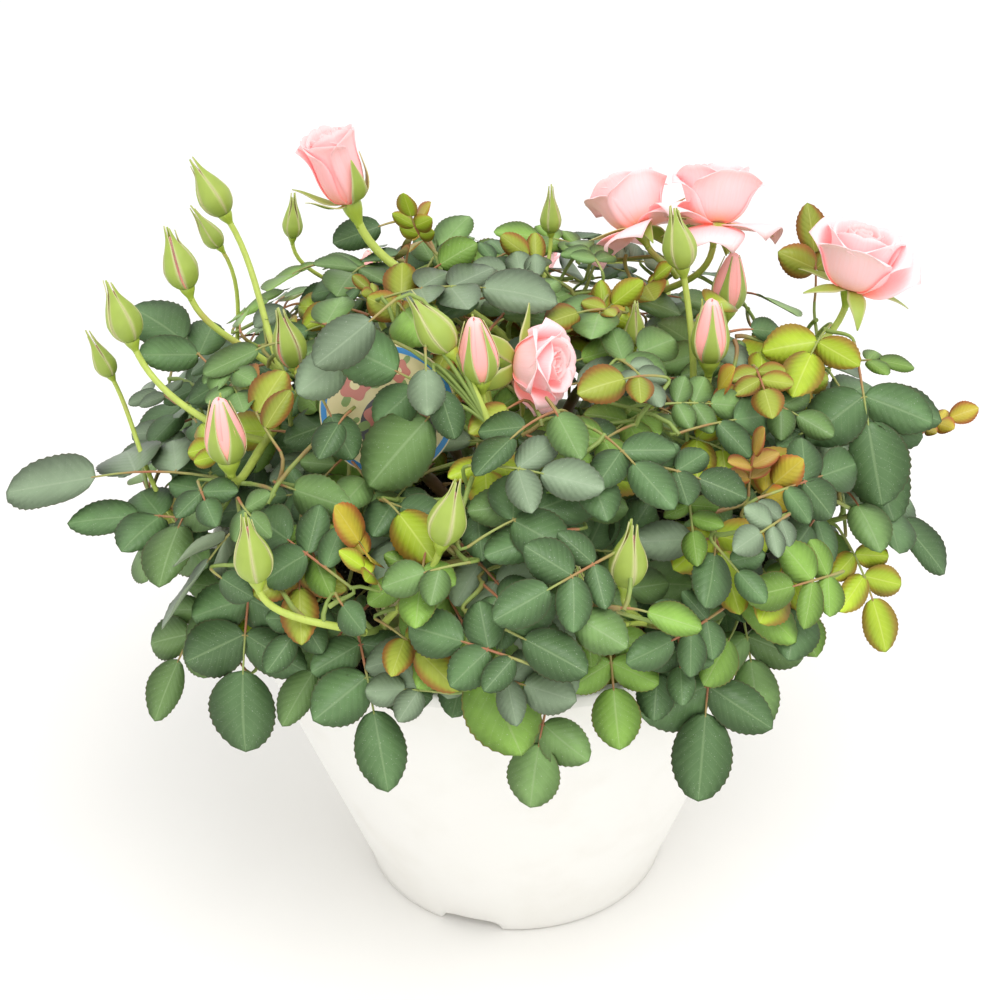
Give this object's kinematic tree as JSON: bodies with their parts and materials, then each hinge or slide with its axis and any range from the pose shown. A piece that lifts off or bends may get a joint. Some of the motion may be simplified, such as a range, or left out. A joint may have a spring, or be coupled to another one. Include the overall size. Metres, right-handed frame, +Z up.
{
  "type": "potted rose bush",
  "caption": "Miniature rose bush with pale pink roses and green buds over dense leaves, in a plain white flared pot with a round plant tag.",
  "frame": {"origin": "centre of the pot's flat underside", "axes": "+Z up, -Y towards the front with the tag, +X to the right"},
  "size_m": [0.321, 0.2682, 0.2802],
  "materials": {
    "pot_plastic": "satin",
    "soil": "matte",
    "tag_card": "satin",
    "old_wood": "matte",
    "green_cane": "satin",
    "foliage": "satin"
  },
  "bodies": {
    "root": {"pot": "pot_plastic", "soil": "soil", "plant_tag": "tag_card", "crown_stem": "old_wood", "cane_top": "green_cane", "cane_inner_1": "green_cane", "cane_inner_2": "green_cane", "cane_inner_3": "green_cane", "cane_inner_4": "green_cane", "cane_inner_5": "green_cane", "cane_outer_1": "green_cane", "cane_outer_2": "green_cane", "cane_outer_3": "green_cane", "cane_outer_4": "green_cane", "cane_outer_5": "green_cane", "cane_outer_6": "green_cane", "cane_outer_7": "green_cane", "cane_outer_8": "green_cane", "foliage_top": "foliage", "foliage_inner_1": "foliage", "foliage_inner_2": "foliage", "foliage_inner_3": "foliage", "foliage_inner_4": "foliage", "foliage_inner_5": "foliage", "foliage_outer_1": "foliage", "foliage_outer_2": "foliage", "foliage_outer_3": "foliage", "foliage_outer_4": "foliage", "foliage_outer_5": "foliage", "foliage_outer_6": "foliage", "foliage_outer_7": "foliage", "foliage_outer_8": "foliage"}
  },
  "joints": []
}
